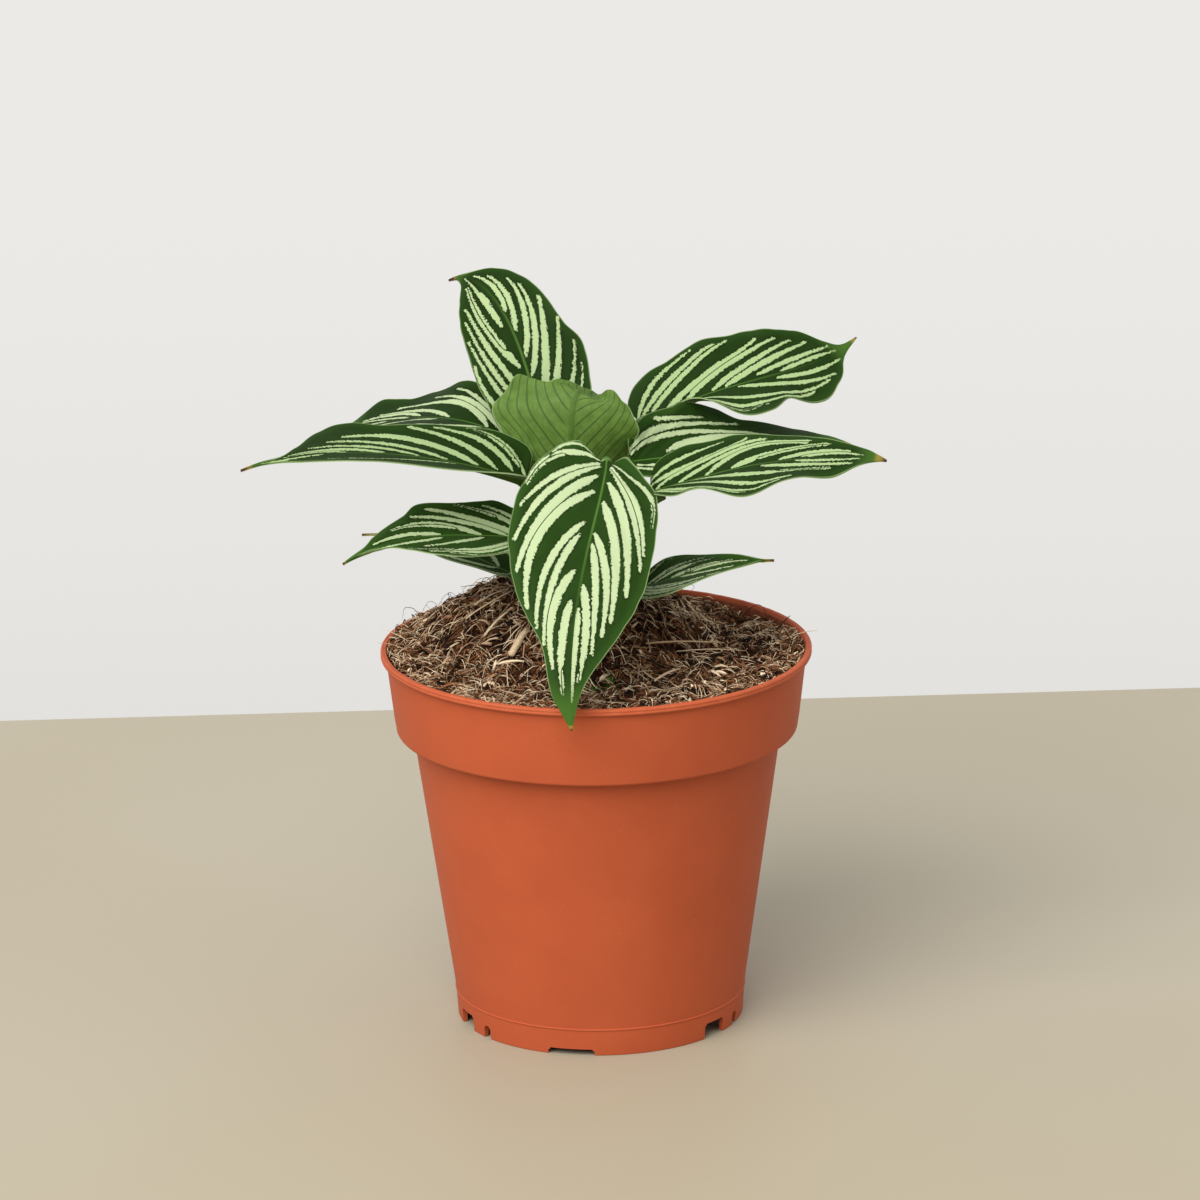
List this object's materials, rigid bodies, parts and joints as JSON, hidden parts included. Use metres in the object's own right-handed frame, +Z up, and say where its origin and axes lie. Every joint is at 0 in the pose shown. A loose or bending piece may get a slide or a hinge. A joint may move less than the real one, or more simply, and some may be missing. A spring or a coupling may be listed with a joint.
{
  "type": "potted calathea",
  "caption": "Young feather-veined foliage plant in a round plastic nursery pot with a deep collar, a rolled rim and a notched foot ring, filled with fibrous potting mix.",
  "frame": {"origin": "on the pot's axis, at the middle of the flat foot under its floor", "axes": "+Z up along the pot's axis, +X to the right of the pot's front, +Y away from its front"},
  "size_m": [0.1543, 0.1138, 0.1766],
  "materials": {
    "pot_plastic": "satin moulded, orange terracotta",
    "potting_soil": "rough, loose brown fibre",
    "leaf_green": "satin leaf, dark green with pale feather stripes"
  },
  "bodies": {
    "root": {"pot": "pot_plastic", "soil": "potting_soil", "leaf_back_left": "leaf_green", "leaf_front": "leaf_green", "leaf_left_high": "leaf_green", "leaf_left_low": "leaf_green", "leaf_left_mid": "leaf_green", "leaf_left_small": "leaf_green", "leaf_new": "leaf_green", "leaf_right_high": "leaf_green", "leaf_right_low": "leaf_green", "leaf_right_mid": "leaf_green", "leaf_right_small": "leaf_green"}
  },
  "joints": []
}
